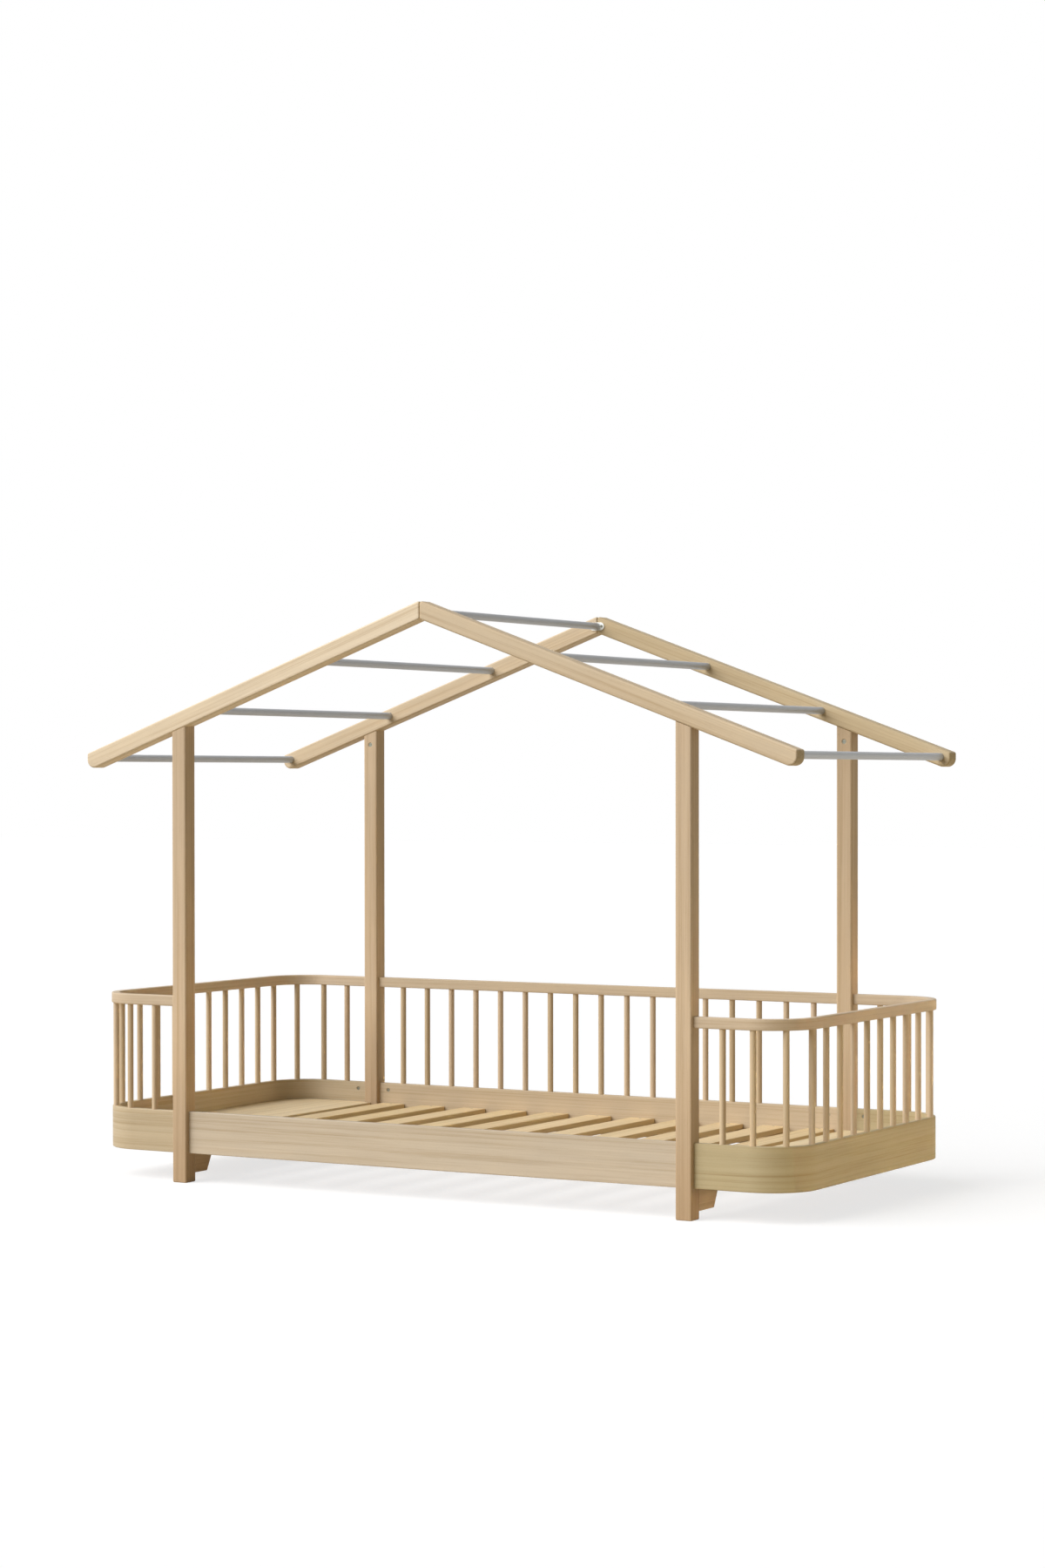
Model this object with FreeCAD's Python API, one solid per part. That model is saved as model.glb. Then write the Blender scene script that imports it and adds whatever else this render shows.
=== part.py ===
import FreeCAD, Part

import math
import os

from FreeCAD import Vector

# House frame bed: a low slatted bed with rounded ends inside a gabled frame of square posts and
# rafters, tied front to rear by seven round metal tubes.
#
# Frame: millimetres, +Z up, the floor at Z = 0 and the middle of the bed at X = Y = 0. X runs
# along the bed, -Y is the open side a child climbs in from, +Y is the side with the guard rail.

# ---------------------------------------------------------------- driving dimensions
MATTRESS_L = 2000.0
MATTRESS_W = 900.0
END_GAP = 35.0          # mattress to end rail: a square-ended mattress has to clear the bent corners
POST_GAP = 2.0          # mattress to the inner face of a post

POST_W = 45.0           # along X
POST_D = 45.0           # along Y; the rafters have the same thickness
END_REACH = 277.5       # from the middle of a post to the inner face of the end rail
EAVE_REACH = 306.5      # and to the end of its rafter
EDGE_R = 5.0            # rounded edges of posts and rafters
FOOT_CHAMFER = 2.0

BASE_T = 18.0           # lower rails: thickness, height, and height above the floor
BASE_H = 112.0
BASE_Z = 78.0
GUARD_T = 22.0          # upper rails
GUARD_H = 28.0
GUARD_TOP = 499.0
RAIL_EDGE_R = 2.5
CORNER_R = 118.0        # bent corners of the end rails, on the centre line

SPINDLE_D = 16.0
SPINDLE_GAP_MAX = 67.0  # widest clear gap between spindles
REAR_POST_GAP = 69.0    # clear gap between a post and its first spindle, along the rear rail
END_POST_GAP = 66.0     # and round an end rail
TENON_D = 10.0
TENON_L = 16.0
TENON_FIT = 0.1         # radial clearance of a tenon in its bore
BORE_SPARE = 1.0        # depth left behind anything pushed into a blind bore

ROOF_SLOPE = 20.0       # degrees
APEX_Z = 1537.0         # where the two top faces of the roof would meet
RAFTER_H = 45.0         # square to the slope
RAFTER_TIP_R = 22.0     # large round at the lower corner of the plumb-cut end
RAFTER_CORNER_R = 6.0

TUBE_D = 20.0
TUBE_WALL = 1.5
TUBES_PER_SLOPE = 3
EAVE_TUBE_INSET = 27.5  # eave tube's axis from the rafter's end
TUBE_RISE = 2.0         # axes of the tubes above the rafters' centre line
TUBE_FIT = 0.2
TUBE_DEPTH = 30.0       # into the inner face of a rafter
RIDGE_TUBE_DROP = 29.0  # ridge tube's axis below the apex

SLAT_W = 75.0
SLAT_T = 14.0
SLAT_GAP_MAX = 63.0     # widest clear gap between slats
PANEL_GAP = 34.0        # clear gap between an end panel and the first slat
SLAT_DROP = 58.0        # slat tops below the top of the base rails
SLAT_CLEAR = 2.0        # slats and end panels to the rails and posts round them
SLAT_EDGE_R = 2.0

LEDGE_W = 20.0          # battens that carry the slats and the end panels
LEDGE_H = 30.0
LEDGE_CLEAR = 1.0

CROSS_T = 22.0          # arched cross rails between the front and rear posts
CROSS_SETBACK = 1.5     # behind the posts' outer faces
CROSS_FOOT_L = 81.0
CROSS_FOOT_Z = 20.0
CROSS_CROWN_Z = 84.0
CROSS_RUN = 32.0        # how far the arch takes to rise from foot to crown
CROSS_FOOT_R = 5.0
CROSS_CROWN_R = 24.0

STUD_D = 6.0            # studs through the posts, with a barrel nut in the rail on either side
STUD_FIT = 0.25
STUD_PAST_NUT = 6.0
NUT_D = 10.0
NUT_FIT = 0.1
NUT_SUNK = 1.5
NUT_CHAMFER = 1.3       # round the mouth of a barrel nut's bore
NUT_SLOT_W = 1.6        # screwdriver slot across a barrel nut's end
NUT_SLOT_DEPTH = 1.5
RAIL_NUT_INSET = 29.5   # barrel nut's axis from the face of the post
RAIL_NUT_EDGE = 20.0    # and from the top or bottom edge of the base rail
RAIL_NUT_SKIN = 2.5     # wood left under a barrel nut's bore
GUARD_NUT_INSET = 28.0
GUARD_NUT_SKIN = 5.0
GUARD_STUD_IN_POST = 32.0

BOLT_D = 8.0            # bolts down through the rafters into the posts
BOLT_HEAD_D = 13.0
BOLT_HEAD_H = 8.0
BOLT_POCKET_D = 16.0
BOLT_POCKET_DEPTH = 20.0
BOLT_PAST_NUT = 9.0
COVER_PLUG_H = 7.0
POST_NUT_D = 12.0
POST_NUT_L = 34.0
POST_NUT_DROP = 33.5    # barrel nut's axis below the post's top, on the post's centre line

PLATE_L = 46.0          # plates across the mitres, which also hold the ridge tube
PLATE_H = 22.0
PLATE_T = 3.0
PLATE_SCREW_X = 16.0
RIDGE_BOLT_D = 6.0
RIDGE_BOLT_HEAD_D = 12.0
RIDGE_BOLT_HEAD_H = 3.5
RIDGE_BOLT_IN_PLUG = 14.0
RIDGE_PLUG_L = 20.0
RIDGE_POCKET_D = 15.0
RIDGE_POCKET_DEPTH = 6.0

DOWEL_D = 8.0
DOWEL_L = 30.0
DOWEL_FIT = 0.1
MITRE_DOWEL_RISE = 9.0      # dowels this far above and below the middle of the mitre
MITRE_DOWEL_OUT = 9.0       # and this far outside the middle of the rafter's thickness
CROSS_DOWEL_EDGE = 22.0     # dowels of a cross rail from its foot and from its top edge

SCREW_D = 4.0
SCREW_HEAD_D = 8.0
SCREW_HEAD_H = 2.4
SCREW_FIT = 0.1             # radial clearance of a screw's shank in its bore
LEDGE_SCREW_L = 30.0
SLAT_SCREW_L = 30.0
PLATE_SCREW_L = 25.0
SLAT_SCREW_INSET = 14.0     # slat screws from the slat's end
LEDGE_SCREW_INSET = 50.0    # first screw from the end of a batten in an end rail
END_LEDGE_SCREWS = 4
LEG_LEDGE_SCREWS = 2
PANEL_SCREW_BITE = 9.0      # up through a batten and this far into an end panel

# ---------------------------------------------------------------- places that follow from them
END_IN_X = MATTRESS_L / 2 + END_GAP
END_X = END_IN_X + BASE_T / 2
POST_X = END_IN_X - END_REACH
POST_Y = MATTRESS_W / 2 + POST_GAP + POST_D / 2
POST_IN_X = POST_X - POST_W / 2
POST_OUT_X = POST_X + POST_W / 2
POST_IN_Y = POST_Y - POST_D / 2
POST_OUT_Y = POST_Y + POST_D / 2
CROSS_X = POST_OUT_X - CROSS_SETBACK - CROSS_T / 2

RAIL_IN_Y = POST_Y - BASE_T / 2
CORNER_X = END_X - CORNER_R
CORNER_Y = POST_Y - CORNER_R
BASE_TOP = BASE_Z + BASE_H
GUARD_Z = GUARD_TOP - GUARD_H

SLOPE = math.radians(ROOF_SLOPE)
RAFTER_V = RAFTER_H / math.cos(SLOPE)
RAFTER_END = POST_X + EAVE_REACH
TUBE_PITCH = (RAFTER_END - EAVE_TUBE_INSET) / TUBES_PER_SLOPE
TUBE_R = TUBE_D / 2
RIDGE_TUBE_Z = APEX_Z - RIDGE_TUBE_DROP
RIDGE_HALF = POST_IN_Y - PLATE_T

DECK_Z = BASE_TOP - SLAT_DROP
LEDGE_TOP = DECK_Z - SLAT_T
LEDGE_Z = LEDGE_TOP - LEDGE_H

SAME = 1e-4             # lengths closer than this are the same
X_AXIS = Vector(1, 0, 0)
Y_AXIS = Vector(0, 1, 0)
Z_AXIS = Vector(0, 0, 1)
SIDES = (("left", -1), ("right", 1))
ROWS = (("front", -1), ("rear", 1))


def roof_top(x):
    """Height of the roof's top face at x."""
    return APEX_Z - abs(x) * math.tan(SLOPE)


def roof_under(x):
    """Height of the rafters' underside at x."""
    return roof_top(x) - RAFTER_V


def tube_z(x):
    """Height of a roof tube's axis at x."""
    return roof_top(x) - RAFTER_V / 2 + TUBE_RISE


# ---------------------------------------------------------------- shape helpers
def block(x0, x1, y0, y1, z0, z1):
    return Part.makeBox(x1 - x0, y1 - y0, z1 - z0, Vector(x0, y0, z0))


def rod(start, axis, radius, length):
    return Part.makeCylinder(radius, length, start, axis)


def countersunk(top, direction, shank_r, length):
    head = Part.makeCone(SCREW_HEAD_D / 2, SCREW_D / 2, SCREW_HEAD_H, top, direction)
    return head.fuse(rod(top, direction, shank_r, length)).removeSplitter()


def screw(top, direction, length):
    """A wood screw from the middle of its flat head, along direction."""
    return countersunk(top, direction, SCREW_D / 2, length)


def screw_bore(top, direction, length):
    return countersunk(top, direction, SCREW_D / 2 + SCREW_FIT, length + BORE_SPARE)


def near(a, b):
    return abs(a - b) < SAME


def outline(points, radii):
    """Closed flat wire through the points, each corner rounded by its radius."""
    edges = []
    stops = []
    count = len(points)
    for i, corner in enumerate(points):
        before = (points[i - 1] - corner).normalize()
        after = (points[(i + 1) % count] - corner).normalize()
        if radii[i] <= 0:
            stops.append((corner, corner, None))
            continue
        half = before.getAngle(after) / 2
        run = radii[i] / math.tan(half)
        to_centre = (before + after).normalize() * (radii[i] / math.sin(half))
        middle = corner + to_centre - to_centre.normalize() * radii[i]
        stops.append((corner + before * run, corner + after * run, middle))
    for i, (start, end, middle) in enumerate(stops):
        if middle is not None:
            edges.append(Part.Arc(start, middle, end).toShape())
        following = stops[(i + 1) % count][0]
        if not near(end.distanceToPoint(following), 0):
            edges.append(Part.makeLine(end, following))
    return Part.Wire(edges)


def prism(points, radii, direction):
    return Part.Face(outline(points, radii)).extrude(direction)


def edges_in(shape, test):
    """Edges whose end points all pass the test."""
    return [edge for edge in shape.Edges if all(test(v.Point) for v in edge.Vertexes)]


def edges_along(shape, axis):
    """Straight edges that run along axis."""
    return [edge for edge in shape.Edges
            if near((edge.Vertexes[0].Point - edge.Vertexes[-1].Point).cross(axis).Length, 0)]


def above_slope(height, x, reach, y0, y1):
    """All that lies above the sloping line height(x), within reach of x and between y0 and y1."""
    x0, x1 = x - reach, x + reach
    corners = [Vector(x0, y0, height(x0)), Vector(x1, y0, height(x1)),
               Vector(x1, y0, APEX_Z), Vector(x0, y0, APEX_Z)]
    return prism(corners, [0] * 4, Vector(0, y1 - y0, 0))


def mirror_x(shape, side):
    return shape if side > 0 else shape.mirror(Vector(0, 0, 0), X_AXIS)


def mirror_y(shape, row):
    return shape if row > 0 else shape.mirror(Vector(0, 0, 0), Y_AXIS)


def spread(first, last, count):
    """Evenly spaced values from first to last."""
    return [first + (last - first) * i / (count - 1) for i in range(count)]


# ---------------------------------------------------------------- where slats and spindles stand
LAST_SLAT_X = POST_X - PANEL_GAP - SLAT_W / 2
SLAT_GAPS = math.ceil(2 * LAST_SLAT_X / (SLAT_W + SLAT_GAP_MAX))
SLAT_STATIONS = spread(-LAST_SLAT_X, LAST_SLAT_X, SLAT_GAPS + 1)


def spindle_stations(length, post_gap):
    """Evenly spaced distances along a rail of that length, with post_gap clear at each post."""
    first = post_gap + SPINDLE_D / 2
    last = length - first
    gaps = math.ceil((last - first) / (SPINDLE_D + SPINDLE_GAP_MAX))
    return spread(first, last, gaps + 1)


LEG_RUN = CORNER_X - POST_OUT_X
BEND_RUN = CORNER_R * math.pi / 2
END_RUN = 2 * CORNER_Y


def on_end_rail(distance):
    """Point on the centre line of the right end rail, measured from the front post."""
    half = LEG_RUN + BEND_RUN + END_RUN / 2
    row = -1 if distance <= half else 1
    along = min(distance, 2 * half - distance)
    if along <= LEG_RUN:
        return (POST_OUT_X + along, row * POST_Y)
    if along <= LEG_RUN + BEND_RUN:
        turn = (along - LEG_RUN) / CORNER_R
        return (CORNER_X + CORNER_R * math.sin(turn), row * (CORNER_Y + CORNER_R * math.cos(turn)))
    return (END_X, row * (CORNER_Y - (along - LEG_RUN - BEND_RUN)))


REAR_SPINDLES = [(s - POST_IN_X, POST_Y) for s in spindle_stations(2 * POST_IN_X, REAR_POST_GAP)]
END_RAIL_RUN = 2 * (LEG_RUN + BEND_RUN) + END_RUN
END_SPINDLES = [on_end_rail(s) for s in spindle_stations(END_RAIL_RUN, END_POST_GAP)]


def spindle(x, y):
    body = rod(Vector(x, y, BASE_TOP), Z_AXIS, SPINDLE_D / 2, GUARD_Z - BASE_TOP)
    tenon = rod(Vector(x, y, BASE_TOP - TENON_L), Z_AXIS, TENON_D / 2,
                GUARD_Z - BASE_TOP + 2 * TENON_L)
    return body.fuse(tenon).removeSplitter()


def tenon_bores(stations, face_z, direction):
    """Blind bores that the spindles' tenons go into, from the face of a rail."""
    depth = TENON_L + BORE_SPARE
    return [rod(Vector(x, y, face_z), Vector(0, 0, direction), TENON_D / 2 + TENON_FIT, depth)
            for x, y in stations]


# ---------------------------------------------------------------- barrel nuts and studs
STUD_R = STUD_D / 2
NUT_R = NUT_D / 2
RAIL_STUD_HEIGHTS = (BASE_Z + RAIL_NUT_EDGE, BASE_TOP - RAIL_NUT_EDGE)
GUARD_STUD_Z = GUARD_Z + GUARD_H / 2
RAIL_NUT_BORE = BASE_T - RAIL_NUT_SKIN
RAIL_NUT_L = RAIL_NUT_BORE - NUT_SUNK - BORE_SPARE
GUARD_NUT_BORE = GUARD_H - GUARD_NUT_SKIN
GUARD_NUT_L = GUARD_NUT_BORE - NUT_SUNK - BORE_SPARE


def stud_along_x(x0, x1, y, z):
    return rod(Vector(x0, y, z), X_AXIS, STUD_R, x1 - x0)


def stud_bore(x0, x1, y, z):
    return rod(Vector(x0, y, z), X_AXIS, STUD_R + STUD_FIT, x1 - x0)


def nut_bore(mouth, direction, radius, depth):
    """Blind bore for a barrel nut, with its mouth chamfered."""
    bore_r = radius + NUT_FIT
    chamfer = Part.makeCone(bore_r + NUT_CHAMFER, bore_r, NUT_CHAMFER, mouth, direction)
    return chamfer.fuse(rod(mouth, direction, bore_r, depth)).removeSplitter()


def barrel_nut(mouth, direction, radius, length):
    """Barrel nut sunk below the mouth of its bore, with a slot along X across its end."""
    start = mouth + direction * NUT_SUNK
    slot_end = start + direction * NUT_SLOT_DEPTH
    sideways = direction.cross(X_AXIS) * (NUT_SLOT_W / 2)
    reach = X_AXIS * (2 * radius)
    corners = [start - reach - sideways, start + reach - sideways,
               start + reach + sideways, start - reach + sideways]
    return rod(start, direction, radius, length).cut(prism(corners, [0] * 4, slot_end - start))


def rail_nut_bore(x, row, z):
    """From the inner face of a base rail outwards."""
    return nut_bore(Vector(x, row * RAIL_IN_Y, z), Y_AXIS * row, NUT_R, RAIL_NUT_BORE)


def rail_nut(x, row, z):
    nut = barrel_nut(Vector(x, row * RAIL_IN_Y, z), Y_AXIS * row, NUT_R, RAIL_NUT_L)
    return nut.cut(rod(Vector(x - NUT_D, row * POST_Y, z), X_AXIS, STUD_R, 2 * NUT_D))


def guard_nut_bore(x, row):
    """Up from the underside of a guard rail."""
    return nut_bore(Vector(x, row * POST_Y, GUARD_Z), Z_AXIS, NUT_R, GUARD_NUT_BORE)


def guard_nut(x, row):
    nut = barrel_nut(Vector(x, row * POST_Y, GUARD_Z), Z_AXIS, NUT_R, GUARD_NUT_L)
    return nut.cut(rod(Vector(x - NUT_D, row * POST_Y, GUARD_STUD_Z), X_AXIS, STUD_R, 2 * NUT_D))


def base_joint_bores(face_x, away, row):
    """Stud and nut bores in a base rail that butts against a post face at face_x."""
    tools = []
    nut_x = face_x + away * RAIL_NUT_INSET
    tip_x = nut_x + away * (STUD_PAST_NUT + BORE_SPARE)
    for z in RAIL_STUD_HEIGHTS:
        tools.append(stud_bore(min(face_x, tip_x), max(face_x, tip_x), row * POST_Y, z))
        tools.append(rail_nut_bore(nut_x, row, z))
    return tools


def guard_joint_bores(face_x, away, row):
    nut_x = face_x + away * GUARD_NUT_INSET
    tip_x = nut_x + away * (STUD_PAST_NUT + BORE_SPARE)
    return [stud_bore(min(face_x, tip_x), max(face_x, tip_x), row * POST_Y, GUARD_STUD_Z),
            guard_nut_bore(nut_x, row)]


# ---------------------------------------------------------------- posts
POST_TOP_Z = roof_under(POST_X)
POST_NUT_Z = POST_TOP_Z - POST_NUT_DROP
CROSS_DOWEL_HEIGHTS = (CROSS_FOOT_Z + CROSS_DOWEL_EDGE, LEDGE_TOP - CROSS_DOWEL_EDGE)
DOWEL_R = DOWEL_D / 2


def post(row):
    """Right-hand post of the front or rear frame."""
    y0, y1 = row * POST_Y - POST_D / 2, row * POST_Y + POST_D / 2
    corners = [Vector(POST_IN_X, y0, 0), Vector(POST_OUT_X, y0, 0),
               Vector(POST_OUT_X, y1, 0), Vector(POST_IN_X, y1, 0)]
    body = prism(corners, [EDGE_R] * 4, Vector(0, 0, APEX_Z))
    body = body.makeChamfer(FOOT_CHAMFER, edges_in(body, lambda p: near(p.z, 0)))
    body = body.cut(above_slope(roof_under, POST_X, POST_W, y0, y1))

    centre_y = row * POST_Y
    tools = [stud_bore(POST_IN_X, POST_OUT_X, centre_y, z) for z in RAIL_STUD_HEIGHTS]
    guard_x0 = POST_IN_X if row > 0 else POST_OUT_X - GUARD_STUD_IN_POST - BORE_SPARE
    tools.append(stud_bore(guard_x0, POST_OUT_X, centre_y, GUARD_STUD_Z))
    bolt_end = POST_NUT_Z - BOLT_PAST_NUT - BORE_SPARE
    tools.append(rod(Vector(POST_X, centre_y, bolt_end), Z_AXIS, BOLT_D / 2 + STUD_FIT,
                     APEX_Z - bolt_end))
    face_y = row * POST_IN_Y
    tools.append(nut_bore(Vector(POST_X, face_y, POST_NUT_Z), Y_AXIS * row, POST_NUT_D / 2,
                          NUT_SUNK + POST_NUT_L + BORE_SPARE))
    for z in CROSS_DOWEL_HEIGHTS:
        tools.append(rod(Vector(CROSS_X, face_y, z), Y_AXIS * row, DOWEL_R + DOWEL_FIT,
                         DOWEL_L / 2 + BORE_SPARE))
    return body.cut(tools)


# ---------------------------------------------------------------- rafters
RAFTER_BOLT_SEAT = roof_top(POST_X) - BOLT_POCKET_DEPTH
MITRE_MID_Z = APEX_Z - RAFTER_V / 2
MITRE_DOWEL_Y = POST_Y + MITRE_DOWEL_OUT
MITRE_DOWEL_HEIGHTS = (MITRE_MID_Z - MITRE_DOWEL_RISE, MITRE_MID_Z + MITRE_DOWEL_RISE)
TUBE_STATIONS = [TUBE_PITCH * (i + 1) for i in range(TUBES_PER_SLOPE)]


def rafter():
    """Right-hand rafter of the rear frame."""
    y0 = POST_IN_Y
    profile = [Vector(0, y0, roof_top(0)), Vector(RAFTER_END, y0, roof_top(RAFTER_END)),
               Vector(RAFTER_END, y0, roof_under(RAFTER_END)), Vector(0, y0, roof_under(0))]
    radii = [RAFTER_CORNER_R, RAFTER_CORNER_R, RAFTER_TIP_R, RAFTER_CORNER_R]
    body = prism(profile, radii, Vector(0, POST_D, 0))
    faces = (POST_IN_Y, POST_OUT_Y)
    rims = [edge for y in faces for edge in edges_in(body, lambda p: near(p.y, y))]
    body = body.makeFillet(EDGE_R, rims)

    tools = [rod(Vector(x, POST_IN_Y, tube_z(x)), Y_AXIS, TUBE_R + TUBE_FIT,
                 TUBE_DEPTH + BORE_SPARE) for x in TUBE_STATIONS]
    tools.append(rod(Vector(POST_X, POST_Y, 0), Z_AXIS, BOLT_D / 2 + STUD_FIT, APEX_Z))
    tools.append(rod(Vector(POST_X, POST_Y, RAFTER_BOLT_SEAT), Z_AXIS, BOLT_POCKET_D / 2, APEX_Z))
    for z in MITRE_DOWEL_HEIGHTS:
        tools.append(rod(Vector(0, MITRE_DOWEL_Y, z), X_AXIS, DOWEL_R + DOWEL_FIT,
                         DOWEL_L / 2 + BORE_SPARE))
    tools.append(rod(Vector(0, POST_IN_Y, RIDGE_TUBE_Z), Y_AXIS, RIDGE_POCKET_D / 2,
                     RIDGE_POCKET_DEPTH))
    tools.append(screw_bore(Vector(PLATE_SCREW_X, RIDGE_HALF, RIDGE_TUBE_Z), Y_AXIS,
                            PLATE_SCREW_L))
    return body.cut(tools)


def rafter_bolt():
    seat = Vector(POST_X, POST_Y, RAFTER_BOLT_SEAT)
    tip_z = POST_NUT_Z - BOLT_PAST_NUT
    shank = rod(Vector(POST_X, POST_Y, tip_z), Z_AXIS, BOLT_D / 2, RAFTER_BOLT_SEAT - tip_z)
    return shank.fuse(rod(seat, Z_AXIS, BOLT_HEAD_D / 2, BOLT_HEAD_H)).removeSplitter()


def cover_plug():
    """Wooden plug over the bolt's pocket, cut flush with the rafter's top face."""
    bottom = roof_top(POST_X) - COVER_PLUG_H
    plug = rod(Vector(POST_X, POST_Y, bottom), Z_AXIS, BOLT_POCKET_D / 2, APEX_Z - bottom)
    return plug.cut(above_slope(roof_top, POST_X, BOLT_POCKET_D, POST_IN_Y, POST_OUT_Y))


def post_nut():
    nut = barrel_nut(Vector(POST_X, POST_IN_Y, POST_NUT_Z), Y_AXIS, POST_NUT_D / 2, POST_NUT_L)
    return nut.cut(rod(Vector(POST_X, POST_Y, POST_NUT_Z - POST_NUT_D), Z_AXIS, BOLT_D / 2,
                       2 * POST_NUT_D))


# ---------------------------------------------------------------- roof tubes
def roof_tube(x, z):
    half = POST_IN_Y + TUBE_DEPTH
    return rod(Vector(x, -half, z), Y_AXIS, TUBE_R, 2 * half).cut(
        rod(Vector(x, -half, z), Y_AXIS, TUBE_R - TUBE_WALL, 2 * half))


def ridge_tube():
    return rod(Vector(0, -RIDGE_HALF, RIDGE_TUBE_Z), Y_AXIS, TUBE_R, 2 * RIDGE_HALF).cut(
        rod(Vector(0, -RIDGE_HALF, RIDGE_TUBE_Z), Y_AXIS, TUBE_R - TUBE_WALL, 2 * RIDGE_HALF))


def ridge_plug():
    """Threaded plug pressed into the rear end of the ridge tube."""
    start = Vector(0, RIDGE_HALF - RIDGE_PLUG_L, RIDGE_TUBE_Z)
    return rod(start, Y_AXIS, TUBE_R - TUBE_WALL, RIDGE_PLUG_L).cut(
        rod(start, Y_AXIS, RIDGE_BOLT_D / 2, RIDGE_PLUG_L))


def ridge_plate():
    """Steel plate with round ends across the mitre, on the inner face of the rear frame."""
    x, z = PLATE_L / 2, PLATE_H / 2
    corners = [Vector(sx * x, RIDGE_HALF, RIDGE_TUBE_Z + sz * z)
               for sx, sz in ((-1, -1), (1, -1), (1, 1), (-1, 1))]
    plate = prism(corners, [z] * 4, Vector(0, PLATE_T, 0))
    tools = [rod(Vector(0, RIDGE_HALF, RIDGE_TUBE_Z), Y_AXIS, RIDGE_BOLT_D / 2 + STUD_FIT, PLATE_T)]
    tools += [screw_bore(Vector(side * PLATE_SCREW_X, RIDGE_HALF, RIDGE_TUBE_Z), Y_AXIS,
                         PLATE_SCREW_L) for side in (-1, 1)]
    return plate.cut(tools)


def ridge_bolt():
    seat_y = POST_IN_Y
    tip_y = RIDGE_HALF - RIDGE_BOLT_IN_PLUG
    shank = rod(Vector(0, tip_y, RIDGE_TUBE_Z), Y_AXIS, RIDGE_BOLT_D / 2, seat_y - tip_y)
    head = rod(Vector(0, seat_y, RIDGE_TUBE_Z), Y_AXIS, RIDGE_BOLT_HEAD_D / 2, RIDGE_BOLT_HEAD_H)
    return shank.fuse(head).removeSplitter()


# ---------------------------------------------------------------- straight rails
def straight_rail(row, thickness, z0, z1):
    """Rail between the two posts of one frame, with its long edges rounded."""
    y = row * POST_Y
    body = block(-POST_IN_X, POST_IN_X, y - thickness / 2, y + thickness / 2, z0, z1)
    return body.makeFillet(RAIL_EDGE_R, edges_along(body, X_AXIS))


def side_rail(row, stations):
    """Lower rail of one frame, with bores for the spindles that stand on it."""
    body = straight_rail(row, BASE_T, BASE_Z, BASE_TOP)
    tools = tenon_bores(stations, BASE_TOP, -1) + side_ledge_screws(row, screw_bore)
    for side in (-1, 1):
        tools += base_joint_bores(side * POST_IN_X, -side, row)
    return body.cut(tools)


def guard_rail():
    body = straight_rail(1, GUARD_T, GUARD_Z, GUARD_TOP)
    tools = tenon_bores(REAR_SPINDLES, GUARD_Z, 1)
    for side in (-1, 1):
        tools += guard_joint_bores(side * POST_IN_X, -side, 1)
    return body.cut(tools)


# ---------------------------------------------------------------- bent end rails
def bent_rail(thickness, z0, z1):
    """Right-hand end rail: two legs, two bent corners and a straight end, in one piece."""
    half = thickness / 2
    out_x, out_y = END_X + half, POST_Y + half
    in_x, in_y = END_X - half, POST_Y - half
    corners = [Vector(POST_OUT_X, -out_y, z0), Vector(out_x, -out_y, z0),
               Vector(out_x, out_y, z0), Vector(POST_OUT_X, out_y, z0),
               Vector(POST_OUT_X, in_y, z0), Vector(in_x, in_y, z0),
               Vector(in_x, -in_y, z0), Vector(POST_OUT_X, -in_y, z0)]
    out_r, in_r = CORNER_R + half, CORNER_R - half
    body = prism(corners, [0, out_r, out_r, 0, 0, in_r, in_r, 0], Vector(0, 0, z1 - z0))

    def on_a_rim(edge):
        ends = [v.Point for v in edge.Vertexes]
        level = all(near(p.z, z0) for p in ends) or all(near(p.z, z1) for p in ends)
        return level and not all(near(p.x, POST_OUT_X) for p in ends)

    return body.makeFillet(RAIL_EDGE_R, [edge for edge in body.Edges if on_a_rim(edge)])


def end_base():
    body = bent_rail(BASE_T, BASE_Z, BASE_TOP)
    tools = tenon_bores(END_SPINDLES, BASE_TOP, -1)
    for row in (-1, 1):
        tools += base_joint_bores(POST_OUT_X, 1, row)
    tools += end_ledge_screws(screw_bore)
    return body.cut(tools)


def end_guard():
    body = bent_rail(GUARD_T, GUARD_Z, GUARD_TOP)
    tools = tenon_bores(END_SPINDLES, GUARD_Z, 1)
    for row in (-1, 1):
        tools += guard_joint_bores(POST_OUT_X, 1, row)
    return body.cut(tools)


# ---------------------------------------------------------------- battens under the deck
SIDE_LEDGE_X = POST_IN_X - LEDGE_CLEAR
LEG_LEDGE_X0 = POST_OUT_X + LEDGE_CLEAR
LEG_LEDGE_X1 = CORNER_X
END_LEDGE_Y = CORNER_Y
LEDGE_SCREW_Z = LEDGE_Z + LEDGE_H / 2
END_SCREW_YS = spread(LEDGE_SCREW_INSET - END_LEDGE_Y, END_LEDGE_Y - LEDGE_SCREW_INSET,
                      END_LEDGE_SCREWS)
LEG_SCREW_XS = spread(LEG_LEDGE_X0 + LEDGE_SCREW_INSET, LEG_LEDGE_X1 - LEDGE_SCREW_INSET,
                      LEG_LEDGE_SCREWS)
SLAT_END_Y = RAIL_IN_Y - SLAT_CLEAR
SLAT_SCREW_Y = SLAT_END_Y - SLAT_SCREW_INSET


def side_ledge_screws(row, make):
    """Screws, or their bores, that hold a side batten: one between each slat and the next."""
    start_y = row * (RAIL_IN_Y - LEDGE_W)
    return [make(Vector((x0 + x1) / 2, start_y, LEDGE_SCREW_Z), Y_AXIS * row, LEDGE_SCREW_L)
            for x0, x1 in zip(SLAT_STATIONS, SLAT_STATIONS[1:])]


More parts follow.
